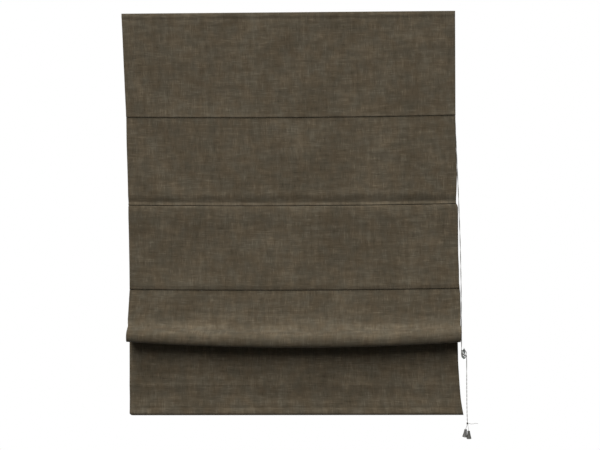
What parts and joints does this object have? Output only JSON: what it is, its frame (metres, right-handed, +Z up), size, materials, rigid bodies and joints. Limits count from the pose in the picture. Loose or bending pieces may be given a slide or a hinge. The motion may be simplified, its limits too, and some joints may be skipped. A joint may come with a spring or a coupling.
{
  "type": "roman blind",
  "caption": "Cord-operated roman blind of woven cloth on a head rail, its lowest panel folded up in front, with the pull cord wound on a wall cleat and ending in bell tassels.",
  "frame": {"origin": "midway between the two wall screw holes of the brackets, on the wall plane", "axes": "+X along the head rail to the right, +Y into the wall, +Z up"},
  "size_m": [1.2861, 0.09, 1.5484],
  "materials": {
    "rail_aluminium": "satin",
    "bar_aluminium": "satin",
    "cap_plastic": "matte",
    "bracket_steel": "satin",
    "tape_white": "matte",
    "blind_cloth": "matte",
    "rod_fibreglass": "satin",
    "ring_plastic": "gloss",
    "guide_plastic": "satin",
    "pulley_plastic": "satin",
    "pin_steel": "satin",
    "pawl_brass": "satin",
    "cord_braid": "matte",
    "tassel_plastic": "satin",
    "cleat_clear": "gloss"
  },
  "bodies": {
    "blind": {"head_rail": "rail_aluminium", "end_cap_left": "cap_plastic", "end_cap_right": "cap_plastic", "bracket_left": "bracket_steel", "bracket_right": "bracket_steel", "hook_tape": "tape_white", "loop_tape": "tape_white", "blind_fabric": "blind_cloth", "stiffening_rod_1": "rod_fibreglass", "stiffening_rod_2": "rod_fibreglass", "stiffening_rod_3": "rod_fibreglass", "stiffening_rod_4": "rod_fibreglass", "bottom_bar": "bar_aluminium", "bottom_bar_cap_left": "cap_plastic", "bottom_bar_cap_right": "cap_plastic", "lift_rings_left": "ring_plastic", "lift_rings_right": "ring_plastic", "cord_orb_left": "ring_plastic", "cord_orb_right": "ring_plastic", "cord_guide_left": "guide_plastic", "cord_guide_right": "guide_plastic", "guide_pulley_pin_left": "pin_steel", "guide_pulley_pin_right": "pin_steel", "cord_lock_body": "guide_plastic", "cord_lock_roller_pin": "pin_steel", "cord_lock_pawl_pin": "pin_steel", "lift_cord_left": "cord_braid", "lift_cord_right": "cord_braid", "pull_cord": "cord_braid", "cord_tie": "cord_braid", "cord_tail": "cord_braid", "tassel_cord_left": "cord_braid", "tassel_cord_right": "cord_braid", "tassel_left": "tassel_plastic", "tassel_right": "tassel_plastic", "cord_cleat": "cleat_clear"},
    "left_pulley": {"guide_pulley_left": "pulley_plastic"},
    "right_pulley": {"guide_pulley_right": "pulley_plastic"},
    "lock_roller": {"cord_lock_roller": "pulley_plastic"},
    "lock_pawl": {"cord_lock_pawl": "pawl_brass"}
  },
  "joints": [
    {"name": "left_pulley_turn", "type": "hinge", "parent": "blind", "child": "left_pulley", "pos_m": [-0.46395, -0.014, -0.003], "axis": [0, 1, 0], "continuous": true},
    {"name": "right_pulley_turn", "type": "hinge", "parent": "blind", "child": "right_pulley", "pos_m": [0.47605, -0.014, -0.003], "axis": [0, 1, 0], "continuous": true},
    {"name": "lock_roller_turn", "type": "hinge", "parent": "blind", "child": "lock_roller", "pos_m": [0.58485, -0.014, -0.003], "axis": [0, 1, 0], "continuous": true},
    {"name": "lock_pawl_swing", "type": "hinge", "parent": "blind", "child": "lock_pawl", "pos_m": [0.56625, -0.014, -0.0055], "axis": [0, 1, 0], "range_deg": [0, 30]}
  ],
  "couplings": [
    {"joint": "right_pulley_turn", "follows": "left_pulley_turn", "ratio": 1},
    {"joint": "lock_roller_turn", "follows": "left_pulley_turn", "ratio": 1}
  ]
}
